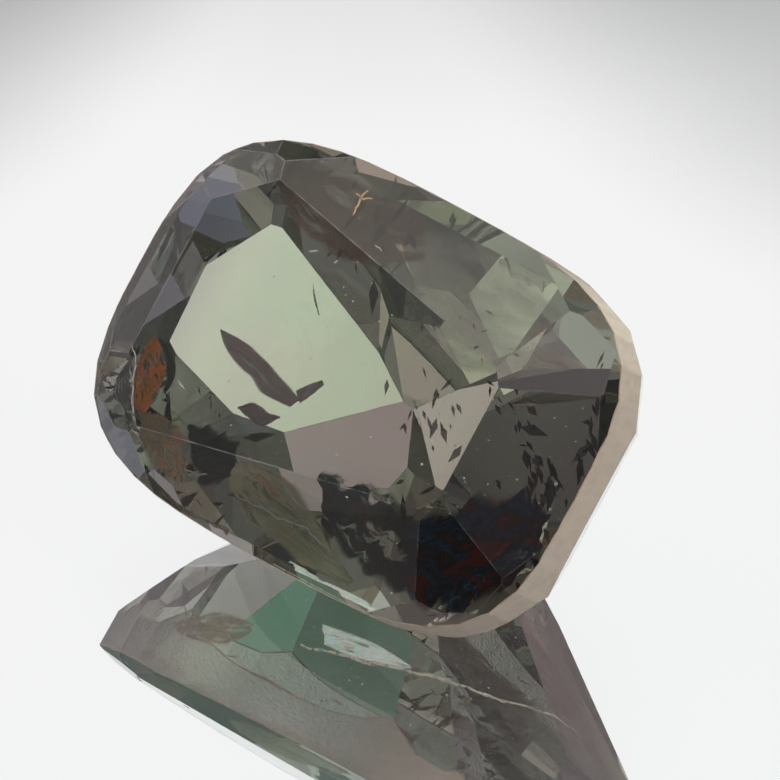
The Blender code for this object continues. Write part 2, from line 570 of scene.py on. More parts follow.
def stone_material():
    """Clear polished chrysoberyl: faint zones of mint and blush, of violet, beige and red-brown
    towards the crown's edges, and a ground girdle, over plain absorption inside."""
    chosen = settings("stone_settings")
    material, shader = new_material("alexandrite_polished")
    place = shader.group("stone place")
    normal = shader.add("ShaderNodeNewGeometry").outputs["True Normal"]
    upright = shader.math("ABSOLUTE", shader.along(normal, StoneFrame().turn[:, 2]))
    girdle = shader.rest(shader.between(upright, 0.02, 0.08))

    mint, clear, blush = (0.90, 0.99, 0.94), (0.99, 0.98, 0.96), (0.96, 0.90, 0.93)
    zone = shader.noise(place["Place"], 0.55, 2.0, 0.5, 0.4)
    tint = shader.ramp(zone, [(0.35, blush), (0.5, clear), (0.65, mint)])
    crown = shader.between(place["Height"], -0.05, 0.02)
    upper_left = shader.times(crown, shader.between(place["Along"], 0.7, -0.3))
    for part, reach, low, high, colour in (
        (crown, "Along", -1.9, -2.9, (0.62, 0.55, 0.68)),
        (crown, "Along", 0.6, 2.4, (1.0, 0.96, 0.92)),
        (upper_left, "Across", 1.2, 2.0, (0.86, 0.68, 0.66)),
    ):
        tint = shader.mix(shader.times(shader.between(place[reach], low, high), part), tint, colour)
    frost = shader.group("broken patches", Place=place["Place"], Scale=9.0, Cover=0.75, Softness=0.3)
    pale = shader.mix(frost["Noise"], (0.80, 0.76, 0.84), (0.97, 0.95, 0.99))

    ground = shader.times(girdle, shader.math("ADD", 0.25, frost["Noise"]))
    matt = shader.math("ADD", 0.2, shader.times(shader.between(place["Along"], 0.8, 2.8), 0.8))
    grain = shader.noise(place["Place"], 26.0, 4.0, 0.6)
    shader.bump(shader.times(grain, girdle), 0.02, girdle)
    shader.surface(
        Base_Color=shader.mix(girdle, tint, pale), Roughness=shader.times(ground, matt),
        IOR=chosen.refractive_index, Transmission_Weight=1.0, Metallic=0.0,
    )
    inside = shader.add(
        "ShaderNodeVolumeAbsorption", Color=chosen.body_colour, Density=chosen.body_density
    )
    shader.feed(material.node_tree.nodes["Material Output"].inputs["Volume"], inside.outputs["Volume"])
    return material


class Film(NamedTuple):
    """A piece of thin films of one stain. Its look is given by the colours over its noise, the
    share of it that isn't clear (cover), how softly its patches end, the noise's scale, the
    roughness, the alpha where it is strongest, the share of that which is left in its mirrored
    pictures (again), its refractive index and a weak painted glow, light that the film gives off in
    its own colours though no lamp reaches it there."""

    piece: str
    material: str
    stops: list
    sheets: list
    cover: float
    softness: float
    scale: float
    roughness: float
    strongest: float
    again: float = 0.3
    index: float = 1.35
    painted_glow: float = 0.0


def stain(hue, share=1.0):
    """A stain's colour, written out or named after a setting, darkened to a share of itself."""
    colour = getattr(settings("inclusion_settings"), hue) if isinstance(hue, str) else hue
    return [share * part for part in colour]


def film_material(film):
    """A stained film in a crack, which scatters the light that comes through it: its colours run
    over noise that is drawn out along the film, patches of it are clear, it ends softly at its
    edges, and it fades in the pictures that light shows after two reflections inside the stone."""
    material, shader = new_material(film.material)
    uv = shader.add("ShaderNodeUVMap", uv_map="along").outputs["UV"]
    stretch = (film.scale * 0.5, film.scale, 1.0)
    drawn = shader.add("ShaderNodeMapping", Vector=uv, Scale=stretch).outputs["Vector"]
    patches = shader.group(
        "broken patches", Place=drawn, Scale=1.0, Cover=film.cover, Softness=film.softness
    )
    across = shader.add("ShaderNodeSeparateXYZ", Vector=uv).outputs["Y"]
    off_middle = shader.math("ABSOLUTE", shader.math("SUBTRACT", across, 0.5))
    inside = shader.rest(shader.between(off_middle, 0.38, 0.5))
    legs = shader.add("ShaderNodeLightPath").outputs["Ray Depth"]
    late = shader.times(shader.math("GREATER_THAN", legs, MIRRORED_AFTER), 1.0 - film.again)
    alpha = shader.times(shader.times(patches["Mask"], inside), shader.rest(late))
    streak = shader.noise(drawn, 2.2, 6.0, 0.65, 1.2)
    colour = shader.ramp(streak, [(at, stain(*hue)) for at, *hue in film.stops])
    shader.surface(
        Base_Color=colour, Alpha=shader.times(alpha, film.strongest), Roughness=film.roughness,
        IOR=film.index, Transmission_Weight=1.0, Metallic=0.0,
    )
    # Painted glow: the film gives off light in its own colours, as if it were lit.
    if film.painted_glow:
        shader.surface(Emission_Color=colour, Emission_Strength=film.painted_glow)
    shader.bump(streak, FILM_RELIEF, 0.8)
    return material


DARK_STAIN = (0.03, 0.06, 0.045)
OLIVE_STAIN = (0.30, 0.26, 0.10)
RED_STAIN = (0.50, 0.035, 0.01)

# In the stops, a colour is written out or is the name of a setting, with a share of it or without.
FILMS = (
    # The oval feather at the left tip, stained orange and red-brown, with a weak painted glow.
    Film(
        "left_feather", "iron_stain",
        [(0.40, DARK_STAIN), (0.45, OLIVE_STAIN), (0.48, "rust"), (0.51, RED_STAIN), (0.54, "rust"),
         (0.57, OLIVE_STAIN), (0.60, DARK_STAIN)],
        [Sheet(
            [(-2.76, -0.68), (-2.81, -1.03), (-2.64, -1.41), (-2.44, -1.58)],
            [(-2.70, -0.67), (-2.47, -0.82), (-2.30, -1.05), (-2.30, -1.50)],
            depth=0.22, ragged=0.02, seed=11,
        )],
        cover=1.0, softness=0.16, scale=4.0, roughness=0.6, strongest=1.0, painted_glow=0.08,
    ),
    # The brownish film that it runs into.
    Film(
        "brown_feather", "brown_film",
        [(0.38, (0.24, 0.23, 0.16)), (0.46, (0.66, 0.60, 0.46)), (0.53, (0.90, 0.40, 0.14)),
         (0.60, (0.50, 0.30, 0.24))],
        [Sheet(
            [(-2.42, -1.58), (-2.13, -1.94), (-1.79, -2.05), (-1.40, -2.05)],
            [(-2.25, -1.50), (-1.90, -1.45), (-1.66, -1.52), (-1.48, -1.80)],
            depth=0.26, ragged=0.03, seed=14,
        )],
        cover=0.80, softness=0.3, scale=4.0, roughness=0.7, strongest=0.75,
    ),
    # The feather's green-black margin and the dark patches on both sides of it.
    Film(
        "dark_margins", "dark_film",
        [(0.4, DARK_STAIN), (0.6, (0.035, 0.03, 0.03))],
        [Sheet(
            [(-2.62, -0.66), (-2.38, -0.77), (-2.19, -0.95), (-2.19, -1.22)],
            [(-2.70, -0.67), (-2.47, -0.82), (-2.30, -1.05), (-2.24, -1.22)],
            depth=0.18, ragged=0.01, seed=16, columns=7,
        ), Sheet(
            [(-1.68, -1.42), (-1.42, -1.30), (-1.12, -1.27), (-0.88, -1.30)],
            [(-1.58, -1.52), (-1.38, -1.78), (-1.10, -1.98), (-0.80, -1.72)],
            depth=0.20, ragged=0.04, seed=18,
        ), Sheet(
            [(-2.92, -1.10), (-2.98, -1.32), (-2.93, -1.55)],
            [(-2.88, -1.06), (-2.70, -1.36), (-2.52, -1.62)],
            depth=0.12, ragged=0.0, seed=19, rows=12, columns=7,
        )],
        cover=1.0, softness=0.2, scale=4.0, roughness=0.3, strongest=0.95,
    ),
    # The long olive-brown feather over the resting facet, with its rusty end.
    Film(
        "lower_feather", "olive_film",
        [(0.38, (0.26, 0.26, 0.16)), (0.45, "olive"), (0.54, (0.90, 0.86, 0.62)), (0.62, (0.90, 0.42, 0.14))],
        [Sheet(
            [(-0.72, -1.45), (-0.40, -1.33), (-0.08, -1.35), (0.43, -1.52), (1.00, -1.80), (1.38, -2.06)],
            [(-0.80, -1.50), (-0.78, -1.80), (-0.44, -2.04), (0.23, -2.16), (0.76, -2.22), (1.34, -2.16)],
            depth=0.16, ragged=0.03, seed=21,
        )],
        cover=0.85, softness=0.3, scale=4.0, roughness=0.6, strongest=0.65,
    ),
    # The violet-brown sliver in the bright window, the two beside it and a thin slit.
    Film(
        "violet_sliver", "violet_veil",
        [(0.38, "violet"), (0.50, "violet", 0.8), (0.60, (0.24, 0.25, 0.26))],
        [Sheet(
            [(-1.93, -0.22), (-1.58, -0.20), (-1.26, -0.24), (-0.98, -0.31), (-0.75, -0.38), (-0.38, -0.49)],
            [(-1.92, -0.23), (-1.77, -0.37), (-1.49, -0.50), (-1.22, -0.55), (-0.94, -0.66), (-0.48, -0.65)],
            depth=0.5, ragged=0.006, seed=31,
        ), Sheet(
            [(-1.15, -0.94), (-0.97, -0.79), (-0.70, -0.81), (-0.54, -0.79)],
            [(-1.14, -0.95), (-0.95, -1.00), (-0.72, -1.02), (-0.52, -0.81)],
            depth=0.5, ragged=0.006, seed=33,
        ), Sheet(
            [(-0.52, -0.43), (-0.38, -0.28), (-0.24, -0.17)],
            [(-0.36, -0.55), (-0.26, -0.38), (-0.18, -0.21)],
            depth=0.5, ragged=0.006, seed=34, columns=7,
        ), Sheet(
            [(-1.04, 0.80), (-0.90, 0.66), (-0.73, 0.50)],
            [(-1.03, 0.79), (-0.92, 0.64), (-0.74, 0.49)],
            depth=0.5, ragged=0.004, seed=35, columns=5,
        )],
        cover=1.0, softness=0.3, scale=2.4, roughness=0.35, strongest=0.95, again=0.0,
    ),
    # Red-brown streaks behind the upper crown.
    Film(
        "red_streaks", "red_streaks",
        [(0.38, (0.22, 0.08, 0.07)), (0.50, (0.46, 0.18, 0.14)), (0.62, (0.26, 0.24, 0.22))],
        [Sheet(
            [(-2.50, 1.88), (-2.02, 2.06), (-1.42, 2.12), (-0.69, 2.14), (-0.15, 2.10)],
            [(-1.96, 1.46), (-1.38, 1.23), (-0.84, 1.17), (-0.26, 1.31), (0.20, 1.60)],
            depth=0.35, ragged=0.03, seed=51,
        )],
        cover=0.62, softness=0.12, scale=5.0, roughness=0.5, strongest=0.72,
    ),
    # The pale cloud behind the right-hand part of it.
    Film(
        "pale_cloud", "pale_cloud",
        [(0.40, (0.80, 0.94, 0.84)), (0.50, (1.0, 0.88, 0.86)), (0.60, (0.62, 0.54, 0.54))],
        [Sheet(
            [(-0.05, 2.06), (0.64, 2.15), (1.33, 2.05), (2.10, 1.88)],
            [(0.41, 0.79), (1.19, 0.60), (2.00, 0.83), (2.60, 1.26)],
            depth=0.6, ragged=0.03, seed=55,
        )],
        cover=0.60, softness=0.35, scale=6.0, roughness=0.8, strongest=0.45,
    ),
    # The near-black film in the lower right, with navy and red-brown in it and a weak painted glow.
    Film(
        "near_black_film", "near_black_film",
        [(0.40, (0.01, 0.02, 0.02)), (0.45, (0.03, 0.06, 0.11)), (0.49, (0.01, 0.02, 0.02)),
         (0.60, (0.12, 0.02, 0.01))],
        [Sheet(
            [(1.75, -1.20), (2.12, -0.85), (2.52, -0.45), (2.95, -0.15), (3.36, -0.28)],
            [(2.15, -1.96), (2.55, -1.96), (2.92, -1.80), (3.18, -1.42), (3.38, -1.00)],
            depth=0.12, ragged=0.09, seed=58,
        )],
        cover=0.76, softness=0.14, scale=2.6, roughness=0.3, strongest=1.0, index=1.02, painted_glow=0.08,
    ),
    # The green-black patches that it thins out into.
    Film(
        "teal_patches", "teal_patches",
        [(0.38, (0.03, 0.07, 0.08)), (0.50, (0.05, 0.07, 0.06)), (0.60, (0.10, 0.05, 0.04))],
        [Sheet(
            [(0.35, -1.12), (0.95, -0.98), (1.45, -0.95), (1.90, -1.05)],
            [(0.75, -1.75), (1.15, -1.85), (1.60, -1.95), (2.15, -1.96)],
            depth=0.25, ragged=0.06, seed=81,
        )],
        cover=0.60, softness=0.05, scale=3.0, roughness=0.3, strongest=0.92, index=1.05,
    ),
    # What the floor's mirror shows under the side facets: a fracture with thin-film colours, whose bright
    # glints are a painted glow.
    Film(
        "coloured_fracture", "coloured_fracture",
        [(0.38, (0.95, 0.45, 0.60)), (0.44, (0.98, 0.90, 0.45)), (0.50, (0.35, 0.65, 0.95)),
         (0.56, (0.70, 0.95, 0.60)), (0.62, (0.90, 0.55, 0.90))],
        [Sheet(
            [(-0.02, -2.24, -1.40), (0.40, -2.23, -1.45), (0.88, -2.23, -1.47), (1.38, -2.23, -1.42)],
            [(0.21, -2.28, -1.17), (0.65, -2.28, -1.18), (1.09, -2.26, -1.28), (1.43, -2.23, -1.38)],
            depth=0.1, ragged=0.02, seed=61, sink=MIRROR_VIEW_IN,
        )],
        cover=0.62, softness=0.12, scale=5.0, roughness=0.3, strongest=0.85, painted_glow=0.35,
    ),
    # A brown lobe and a rusty grain in the same mirrored picture.
    Film(
        "brown_lobe", "brown_lobe",
        [(0.4, (0.36, 0.16, 0.08)), (0.6, (0.70, 0.46, 0.28))],
        [Sheet(
            [(-1.93, -2.32, -0.58), (-1.66, -2.35, -0.79), (-1.32, -2.31, -0.99), (-0.87, -2.30, -1.02)],
            [(-1.68, -2.35, -0.50), (-1.29, -2.38, -0.53), (-0.99, -2.37, -0.64), (-0.81, -2.33, -0.88)],
            depth=0.1, ragged=0.02, seed=64, sink=MIRROR_VIEW_IN,
        ), Sheet(
            [(2.06, -1.93, -1.40), (2.14, -1.92, -1.42), (2.24, -1.88, -1.39)],
            [(2.07, -1.93, -1.29), (2.15, -1.91, -1.26), (2.23, -1.88, -1.30)],
            depth=0.1, ragged=0.01, seed=65, rows=10, columns=5, sink=MIRROR_VIEW_IN,
        )],
        cover=0.6, softness=0.15, scale=6.0, roughness=0.6, strongest=0.7,
    ),
)


def chalk_material(name, colour, scale, cover, strongest, softness=0.12, fade=0.0, painted_glow=0.0):
    """Crushed crystal along a crack or a worn edge: pale, rough, and broken into patches. Fade is
    the share of it that is gone towards the stone's right-hand tip, and painted glow is painted
    light that the chalk gives off in its own colour, as if lamps lit it."""
    material, shader = new_material(name)
    place = shader.group("stone place")
    broken = shader.group(
        "broken patches", Place=place["Place"], Scale=scale, Cover=cover, Softness=softness
    )
    kept = shader.rest(shader.times(shader.between(place["Along"], -0.8, 1.4), fade))
    shader.surface(
        Base_Color=shader.mix(broken["Noise"], [0.75 * part for part in colour], colour),
        Alpha=shader.times(shader.times(broken["Mask"], strongest), kept),
        Roughness=shader.math("ADD", 0.25, shader.times(broken["Noise"], 0.5)),
    )
    # Painted light: the chalk glows in its own colour though no lamp reaches it.
    if painted_glow:
        shader.surface(Emission_Color=colour, Emission_Strength=painted_glow)
    return material


def facet_edges(stone):
    """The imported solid's real edges in the stone's frame, as arrays: their two ends, and for the
    two facets beside each one the outward normals and the directions that lie in the facet and
    lead away from the edge."""
    work = bmesh.new()
    work.from_mesh(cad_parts[STONE].data)
    bmesh.ops.remove_doubles(work, verts=work.verts, dist=0.0005 * MM)
    bmesh.ops.dissolve_limit(
        work, angle_limit=radians(0.5), verts=work.verts, edges=work.edges, use_dissolve_boundaries=False
    )
    shared = [edge for edge in work.edges if len(edge.link_faces) == 2]
    ends = stone.inward(np.array([[vertex.co for vertex in edge.verts] for edge in shared]))
    normals = np.array([[face.normal for face in edge.link_faces] for edge in shared]) @ stone.turn
    centres = np.array([[face.calc_center_median() for face in edge.link_faces] for edge in shared])
    work.free()
    run = unit(ends[:, 1] - ends[:, 0])
    away = unit(np.cross(normals, run[:, None, :]))
    off_edge = stone.inward(centres) - ends.mean(axis=1, keepdims=True)
    return ends, normals, away * np.sign((off_edge * away).sum(axis=-1, keepdims=True))


def edge_lines(stone, wanted, width):
    """Worn lines along the facet edges that wanted picks from how far the normals of the two
    facets beside each edge point up."""
    ends, normals, away = facet_edges(stone)
    parts = []
    for number in np.flatnonzero(wanted(normals[:, :, 2])):
        start, end = ends[number]
        length = np.linalg.norm(end - start)
        if length < EDGE_SPACING:
            continue
        share = np.linspace(0.0, 1.0, max(5, int(length / EDGE_SPACING)))[:, None]
        lift = unit(normals[number].sum(axis=0)) * EDGE_LIFT
        path, seed = start + (end - start) * share, 200 + int(number)
        parts.append(ridge_line(stone, path, width, *away[number], lift, EDGE_SINK, seed))
    return joined(parts)


def crown_pair(upward):
    """Edges between two facets over the girdle's band."""
    return (upward > 0.3).all(axis=1)


def girdle_rim(upward):
    """The girdle's upper and lower edges: one facet upright and one not."""
    return (np.abs(upward) < UPRIGHT).sum(axis=1) == 1


def pavilion_pair(upward):
    """Edges between two facets under the girdle's band."""
    return (upward < -0.1).all(axis=1)


def wear(stone):
    """Worn lines along the crown's edges, the girdle's rims and, fainter, the pavilion's edges; the girdle
    rims' warm colour is partly painted warm light.
    """
    width = settings("inclusion_settings").wear_width / MM
    # The look is the chalk's colour, scale, cover, greatest alpha, softness and fade.
    for name, wanted, share, *look in (
        ("crown", crown_pair, 1.0, (0.84, 0.82, 0.84), 4.0, 0.52, 0.5, 0.4, 0.8),
        # The girdle's rim lines are worn chalk whose warm colour is painted warm light.
        ("girdle", girdle_rim, 1.2, (0.95, 0.78, 0.58), 3.0, 0.75, 0.9, 0.4),
        ("pavilion", pavilion_pair, 0.6, (0.72, 0.72, 0.74), 5.0, 0.45, 0.45, 0.3),
    ):
        material = chalk_material(f"worn_{name}_edge", *look)
        make_piece(f"worn_{name}_edges", material, *edge_lines(stone, wanted, width * share))


def edge_chips(stone):
    """The crushed line of a chipped facet edge that the floor's mirror shows, its sparkle a faint
    painted glow: a smooth line with a wave in its height, kept just inside the stone."""
    # The chips give off a faint painted glow, light painted on them that no lamp gives.
    chip_chalk_with_painted_glow = chalk_material("edge_chips", (0.94, 0.90, 0.76), 20.0, 0.52, 1.0, painted_glow=0.2)
    count, width = 120, 0.05
    edge = [(-0.11, -2.30, -1.04), (1.32, -2.25, -1.33), (2.07, -1.66, -1.54), (2.46, 0.09, -1.77)]
    path = smooth_line(edge, count)
    path[:, 2] += 0.02 * wander(np.linspace(0.0, 1.0, count), 66, 6, 6.0)
    path = stone.kept_inside(path, 0.012)
    down = np.tile([0.0, 0.0, -1.0], (count, 1))
    lift = unit(np.cross(np.gradient(path, axis=0), down)).mean(axis=0) * CHIP_LIFT
    make_piece("edge_chips", chip_chalk_with_painted_glow, *ridge_line(stone, path, width, down, -down, lift, EDGE_SINK, 67))


CRACKS = (
    [(-2.95, -0.90), (-2.78, -1.12), (-2.63, -1.43), (-2.44, -1.66), (-2.32, -1.77)],
    [(-2.32, -1.77), (-1.95, -2.06), (-1.80, -2.19)],
    [(-1.45, -1.90), (-1.12, -1.84)],
    [(-0.67, -1.90), (-0.30, -1.86), (0.13, -1.86), (0.42, -1.80), (1.20, -1.97)],
    [(-1.33, 1.10), (-1.18, 1.16)],
    [(-0.90, 1.13), (-0.86, 1.18)],
    [(-0.52, 1.54), (-0.40, 1.50)],
    [(-2.10, -1.02), (-1.98, -1.06)],
)


def cracks(stone):
    """White crushed lines where cracks come to the crown's surface, and a golden one at the top."""
    width = settings("inclusion_settings").crack_width / MM
    white = chalk_material("crushed_crystal", (0.86, 0.86, 0.80), 16.0, 0.62, 0.9)
    lines = [surface_crack(stone, stops, width, 40 + number) for number, stops in enumerate(CRACKS)]
    make_piece("surface_cracks", white, *joined(lines))
    gold = chalk_material("golden_crack", (0.98, 0.74, 0.40), 14.0, 0.75, 1.0)
    branches = [
        surface_crack(stone, [(-1.04, 1.73), (-1.05, 1.94), (-1.06, 2.08)], width * 1.6, 71, 0.03),
        surface_crack(stone, [(-1.16, 1.98), (-1.05, 1.94), (-0.95, 2.02)], width * 1.3, 72, 0.03),
    ]
    make_piece("golden_crack", gold, *joined(branches))


def flecks(stone):
    """Small bright crystals through the stone: eight-sided grains of random size and stretch."""
    draw = np.random.default_rng(5)
    count = settings("inclusion_settings").fleck_count
    low, high = np.array([-2.9, -2.0, -1.8]), np.array([2.6, 2.0, 0.1])
    depth = 0.12
    centres = low + (high - low) * draw.random((count, 3))
    centres = centres[stone.overreach(centres[:, None]) < -depth][:, None]
    size = 0.006 + 0.012 * draw.random((len(centres), 1, 1)) ** 2
    corner = np.array([(1, 0, 0), (0, 1, 0), (-1, 0, 0), (0, -1, 0), (0, 0, 1), (0, 0, -1)], float)
    places = centres + corner * size * (0.6 + 0.8 * draw.random((len(centres), 1, 3)))
    wheel = [(0, 1, 4), (1, 2, 4), (2, 3, 4), (3, 0, 4), (1, 0, 5), (2, 1, 5), (3, 2, 5), (0, 3, 5)]
    # The flecks give off a painted glow, light painted on them that no lamp gives inside the stone.
    material = chalk_material("bright_flecks", (0.9, 0.9, 0.82), 3.0, 1.0, 1.0, painted_glow=0.3)
    make_piece("bright_flecks", material, stone.outward(places), copied_faces(wheel, places))


# Groups of platelets: middle along and across, spread along and across, least and greatest depth,
# count, least and greatest half-length, heading in degrees, and its spread.
SLASHES = (
    (2.20, 0.60, 0.14, 0.10, 0.10, 0.40, 7, 0.08, 0.16, -25, 25),
    (2.58, 0.45, 0.12, 0.12, 0.10, 0.40, 8, 0.10, 0.22, -30, 22),
    (2.92, 0.14, 0.12, 0.14, 0.10, 0.50, 14, 0.10, 0.28, -40, 20),
    (3.16, -0.18, 0.11, 0.14, 0.10, 0.50, 16, 0.10, 0.26, -55, 22),
    (3.26, -0.62, 0.10, 0.18, 0.10, 0.50, 14, 0.10, 0.24, -60, 30),
    (3.02, 1.45, 0.07, 0.12, 0.08, 0.25, 6, 0.08, 0.18, -50, 30),
    (3.24, 1.00, 0.07, 0.14, 0.08, 0.25, 8, 0.10, 0.20, -60, 30),
    (3.36, 0.55, 0.06, 0.14, 0.08, 0.25, 8, 0.10, 0.20, -70, 30),
    (2.70, -1.10, 0.34, 0.28, 0.15, 0.70, 60, 0.08, 0.22, -40, 50),
)
FAINT_SLASHES = (
    (1.35, 0.10, 0.38, 0.22, 0.10, 0.50, 22, 0.07, 0.16, -60, 25),
    (1.60, 1.05, 0.40, 0.20, 0.10, 0.50, 12, 0.04, 0.10, -20, 35),
    (-0.70, 1.75, 0.55, 0.30, 0.10, 0.50, 26, 0.10, 0.26, -75, 18),
)


def platelets(stone, clusters, seed):
    """Thin kite-shaped platelets in clusters: middles are drawn about each cluster's own, sunk by
    their depth along the line of sight, and each kite has a long point ahead and a short one
    behind, lies roughly across the line of sight and turns about its cluster's heading."""
    draw = np.random.default_rng(seed)
    sight = np.array(VIEW_IN)
    corners = []
    for along, across, wide, deep, least, most, count, short, long, heading, fan in clusters:
        flat = np.array([along, across]) + draw.normal(size=(count, 2)) * np.array([wide, deep])
        middle = stone.on_crown(flat) + draw.uniform(least, most, (count, 1)) * sight
        turn = np.radians(heading + fan * draw.normal(size=count))
        ahead = np.stack([np.cos(turn), np.sin(turn), 0.25 * draw.normal(size=count)], axis=1)
        beside = unit(np.cross(ahead, sight + 0.25 * draw.normal(size=(count, 3))))
        size = draw.uniform(short, long, (count, 1)) * draw.choice([0.6, 1.0], (count, 1))
        width = size * draw.uniform(0.16, 0.42, (count, 1))
        kite = [ahead * size, beside * width, -ahead * size * 0.7, -beside * width * 0.7]
        corners.append(middle[:, None, :] + np.stack(kite, axis=1))
    corners = np.concatenate(corners)
    corners = corners[stone.overreach(corners) < -INNER_MARGIN]
    skin = -sight * PLATELET_THICKNESS / 2
    places = np.concatenate([corners + skin, corners - skin], axis=1)
    kite = [(0, 1, 2, 3), (7, 6, 5, 4), (0, 4, 5, 1), (1, 5, 6, 2), (2, 6, 7, 3), (3, 7, 4, 0)]
    return stone.outward(places), copied_faces(kite, places)


def shards(stone):
    """Dark platelets crowded in the right-hand and lower right parts, and faint ones elsewhere."""
    for name, clusters, seed, stops, strength in (
        ("dark_platelets", SLASHES, 9, [(0.38, (0.06, 0.016, 0.012)), (0.55, (0.008, 0.012, 0.016))], 1.0),
        ("faint_platelets", FAINT_SLASHES, 12, [(0.4, (0.11, 0.05, 0.05)), (0.6, (0.06, 0.07, 0.08))], 0.6),
    ):
        material, shader = new_material(name)
        noise = shader.noise(shader.group("stone place")["Place"], 1.6, 2.0)
        shader.surface(Base_Color=shader.ramp(noise, stops), Roughness=0.3, Alpha=strength)
        make_piece(name, material, *platelets(stone, clusters, seed))


def frost_material():
    """The ground girdle's pale skin: thin at the left tip, where the band is nearly clear, and
    full at the right one."""
    material, shader = new_material("frosted_girdle")
    place = shader.group("stone place")
    frost = shader.group("broken patches", Place=place["Place"], Scale=7.0, Cover=0.8, Softness=0.5)
    alpha = shader.math("ADD", 0.6, shader.times(frost["Mask"], 0.3))
    kept = shader.math("ADD", 0.08, shader.times(shader.between(place["Along"], 0.8, 2.8), 0.92))
    shader.surface(
        Base_Color=shader.mix(frost["Noise"], (0.96, 0.86, 0.68), (1.0, 0.95, 0.80)),
        Alpha=shader.times(alpha, kept),
        Roughness=shader.math("ADD", 0.35, shader.times(frost["Noise"], 0.3)),
    )
    shader.bump(shader.noise(place["Place"], 26.0, 4.0, 0.6), 0.01)
    return material


def frosted_girdle(stone):
    """The bruted girdle's skin: at each heading round the stone the band's radius is the least
    that any upright facet allows, its top is where the crown starts and its foot is where the
    pavilion starts, and its section is a thin plate a few thousandths proud of the solid."""
    headings = 720
    turn = 2.0 * np.pi * np.arange(headings) / headings
    ray = np.stack([np.cos(turn), np.sin(turn)], axis=1)
    tilt = stone.normals[:, 2]
    upright, under = np.abs(tilt) < UPRIGHT, tilt < -UPRIGHT
    facing = ray @ stone.normals[upright, :2].T
    reach = np.where(facing > 0.2, stone.offsets[upright] / np.maximum(facing, 0.2), np.inf)
    flat = ray * reach.min(axis=1)[:, None]
    top = stone.crown_height(flat[:, 0], flat[:, 1])
    foot = ((stone.offsets[under] - flat @ stone.normals[under, :2].T) / tilt[under]).max(axis=1)
    middle, half = (top + foot) / 2, np.maximum((top - foot) / 2 - GIRDLE_FREE, 0.004)
    section = [(GIRDLE_SKIN, 1), (GIRDLE_SKIN, -1), (-GIRDLE_SKIN, -1), (-GIRDLE_SKIN, 1)]
    places = np.stack(
        [np.column_stack([flat + ray * out, middle + side * half]) for out, side in section], axis=1
    )
    faces = grid_faces(headings + 1, 4, wrap=True) % (4 * headings)
    make_piece("frosted_girdle", frost_material(), stone.outward(places), faces)


def floor_material():
    """Glossy white studio surface: a soft white body under a strong mirror."""
    material, shader = new_material("studio_floor")
    spot = shader.add("ShaderNodeTexCoord").outputs["Object"]
    shade = shader.between(shader.noise(spot, 6.0, 2.0, 0.5), 0.3, 0.7)
    shader.surface(
        Base_Color=shader.mix(shade, (0.92, 0.92, 0.93), (0.94, 0.94, 0.95)), Metallic=0.93, Roughness=0.01
    )
    return material


def studio_floor():
    """A round floor: rings that widen from the middle out, as radius times (cos, sin)."""
    chosen = settings("studio_settings")
    rings, sides = 12, 96
    radius = chosen.floor_reach * np.linspace(0.0, 1.0, rings) ** 2
    radius[0] = chosen.floor_reach * 0.0005
    turn = 2.0 * np.pi * np.arange(sides) / sides
    level = np.full((rings, sides), -chosen.floor_gap)
    places = np.stack([np.outer(radius, np.cos(turn)), np.outer(radius, np.sin(turn)), level], axis=-1)
    faces = [list(face) for face in grid_faces(rings, sides, wrap=True)[:, ::-1]]
    faces.append(list(range(sides)))
    mesh = bpy.data.meshes.new("studio_floor")
    mesh.from_pydata(places.reshape(-1, 3).tolist(), [], faces)
    mesh.materials.append(floor_material())
    floor = bpy.data.objects.new("studio_floor", mesh)
    bpy.context.scene.collection.objects.link(floor)


